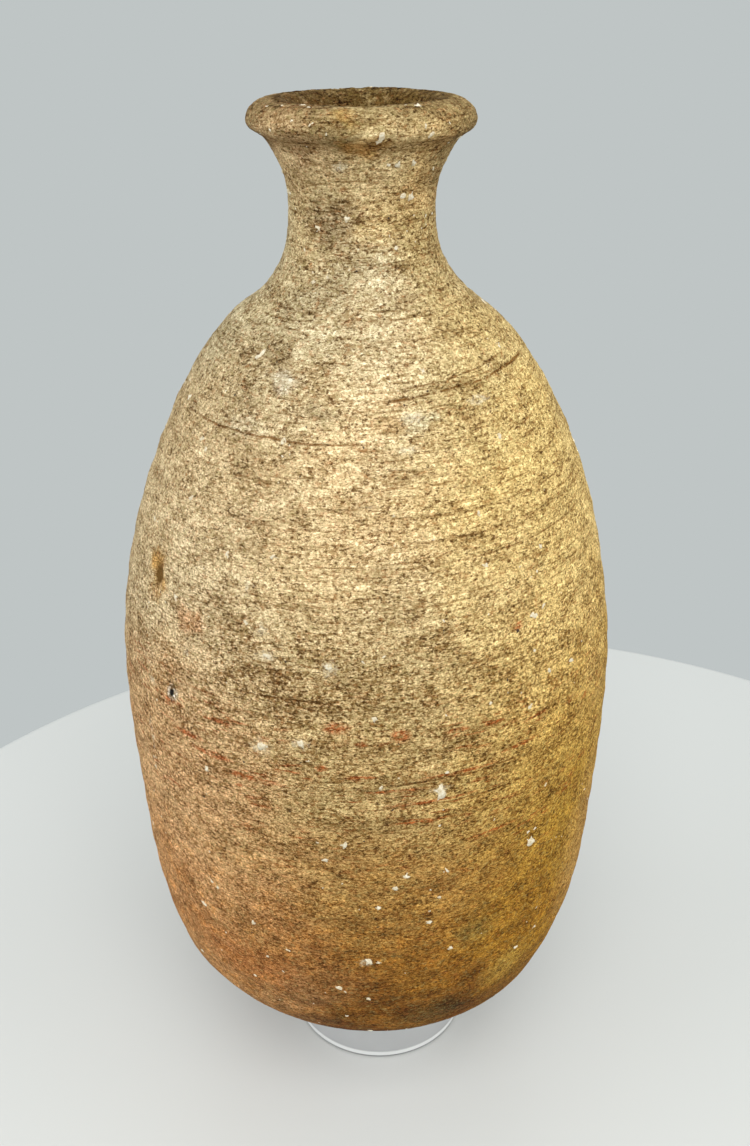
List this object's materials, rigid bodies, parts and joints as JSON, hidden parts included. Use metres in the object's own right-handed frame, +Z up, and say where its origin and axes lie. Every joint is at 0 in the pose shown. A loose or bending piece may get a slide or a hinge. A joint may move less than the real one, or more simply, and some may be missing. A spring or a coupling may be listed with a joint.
{
  "type": "clay bottle on a ring stand",
  "caption": "Tall wheel-thrown clay bottle with a rolled rim, narrow neck and rounded base, lifting out of a short clear display ring.",
  "frame": {"origin": "on the table, straight under the middle of the bottle's body", "axes": "+Z up along the bottle, +X towards the side that the base leans to, -Y towards the viewer"},
  "size_m": [0.126, 0.126, 0.2648],
  "materials": {
    "fired_clay": "matte, unglazed, gritty",
    "clear_acrylic": "clear, polished"
  },
  "bodies": {
    "stand": {"ring_stand": "clear_acrylic"},
    "bottle": {"bottle": "fired_clay"}
  },
  "joints": [
    {"name": "bottle_lift", "type": "slide", "parent": "stand", "child": "bottle", "axis": [0, 0, 1], "range_m": [0, 0.06]}
  ]
}
